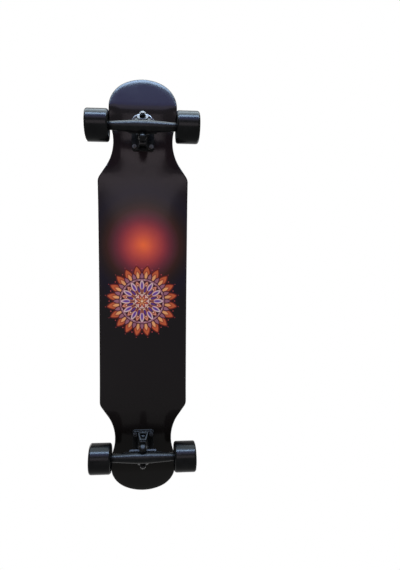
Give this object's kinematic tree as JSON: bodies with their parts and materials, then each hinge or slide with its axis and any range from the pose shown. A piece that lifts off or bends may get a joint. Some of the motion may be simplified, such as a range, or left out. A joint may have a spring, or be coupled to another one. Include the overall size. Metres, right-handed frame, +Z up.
{
  "type": "longboard skateboard",
  "caption": "Long symmetrical skateboard with raised rounded ends, necked wheel cut-outs, reverse-kingpin trucks that steer by leaning, and large soft wheels.",
  "frame": {"origin": "on the floor under the middle of the deck", "axes": "+X toward the nose, +Y to the rider's left when facing the nose, +Z up"},
  "size_m": [1.07, 0.256, 0.1411],
  "materials": {
    "deck_lacquer": "gloss lacquer over dark stain",
    "grip": "coarse black grit",
    "black_steel": "black oxide",
    "zinc_steel": "zinc plated",
    "riser_rubber": "matt",
    "truck_black": "satin black coating",
    "cup_urethane": "matt",
    "bushing_urethane": "satin",
    "wheel_urethane": "gloss",
    "core_plastic": "gloss",
    "bearing_steel": "polished",
    "shield_black": "matt"
  },
  "bodies": {
    "board": {"deck": "deck_lacquer", "grip_tape": "grip", "front_mounting_bolts": "black_steel", "rear_mounting_bolts": "black_steel", "front_mounting_nuts": "zinc_steel", "rear_mounting_nuts": "zinc_steel", "front_riser_pad": "riser_rubber", "rear_riser_pad": "riser_rubber", "front_baseplate": "truck_black", "rear_baseplate": "truck_black", "front_pivot_cup": "cup_urethane", "rear_pivot_cup": "cup_urethane", "front_kingpin": "zinc_steel", "rear_kingpin": "zinc_steel", "front_kingpin_nut": "black_steel", "rear_kingpin_nut": "black_steel", "front_board_side_bushing": "bushing_urethane", "rear_board_side_bushing": "bushing_urethane", "front_road_side_bushing": "bushing_urethane", "rear_road_side_bushing": "bushing_urethane", "front_board_side_washer": "zinc_steel", "rear_board_side_washer": "zinc_steel", "front_road_side_washer": "zinc_steel", "rear_road_side_washer": "zinc_steel"},
    "front_truck": {"front_hanger": "truck_black", "front_axle": "zinc_steel", "front_axle_nuts": "zinc_steel", "front_speed_rings": "zinc_steel", "front_bearing_spacers": "zinc_steel", "front_bearing_inner_rings": "bearing_steel"},
    "rear_truck": {"rear_hanger": "truck_black", "rear_axle": "zinc_steel", "rear_axle_nuts": "zinc_steel", "rear_speed_rings": "zinc_steel", "rear_bearing_spacers": "zinc_steel", "rear_bearing_inner_rings": "bearing_steel"},
    "front_left_wheel": {"front_left_tyre": "wheel_urethane", "front_left_core": "core_plastic", "front_left_bearing_outer_rings": "bearing_steel", "front_left_bearing_balls": "bearing_steel", "front_left_bearing_cages": "zinc_steel", "front_left_bearing_shields": "shield_black"},
    "front_right_wheel": {"front_right_tyre": "wheel_urethane", "front_right_core": "core_plastic", "front_right_bearing_outer_rings": "bearing_steel", "front_right_bearing_balls": "bearing_steel", "front_right_bearing_cages": "zinc_steel", "front_right_bearing_shields": "shield_black"},
    "rear_left_wheel": {"rear_left_tyre": "wheel_urethane", "rear_left_core": "core_plastic", "rear_left_bearing_outer_rings": "bearing_steel", "rear_left_bearing_balls": "bearing_steel", "rear_left_bearing_cages": "zinc_steel", "rear_left_bearing_shields": "shield_black"},
    "rear_right_wheel": {"rear_right_tyre": "wheel_urethane", "rear_right_core": "core_plastic", "rear_right_bearing_outer_rings": "bearing_steel", "rear_right_bearing_balls": "bearing_steel", "rear_right_bearing_cages": "zinc_steel", "rear_right_bearing_shields": "shield_black"}
  },
  "joints": [
    {"name": "front_steer", "type": "hinge", "parent": "board", "child": "front_truck", "pos_m": [0.3685, 0, 0.0355], "axis": [0.7071, 0, 0.7071], "range_deg": [-20, 20], "stiffness_Nm_per_rad": 60, "deforming": ["front_board_side_bushing", "front_road_side_bushing"]},
    {"name": "rear_steer", "type": "hinge", "parent": "board", "child": "rear_truck", "pos_m": [-0.3685, 0, 0.0355], "axis": [-0.7071, 0, 0.7071], "range_deg": [-20, 20], "stiffness_Nm_per_rad": 60, "deforming": ["rear_board_side_bushing", "rear_road_side_bushing"]},
    {"name": "front_left_roll", "type": "hinge", "parent": "front_truck", "child": "front_left_wheel", "pos_m": [0.3905, 0.102, 0.0355], "axis": [0, 1, 0], "continuous": true},
    {"name": "front_right_roll", "type": "hinge", "parent": "front_truck", "child": "front_right_wheel", "pos_m": [0.3905, -0.102, 0.0355], "axis": [0, 1, 0], "continuous": true},
    {"name": "rear_left_roll", "type": "hinge", "parent": "rear_truck", "child": "rear_left_wheel", "pos_m": [-0.3905, 0.102, 0.0355], "axis": [0, 1, 0], "continuous": true},
    {"name": "rear_right_roll", "type": "hinge", "parent": "rear_truck", "child": "rear_right_wheel", "pos_m": [-0.3905, -0.102, 0.0355], "axis": [0, 1, 0], "continuous": true}
  ]
}
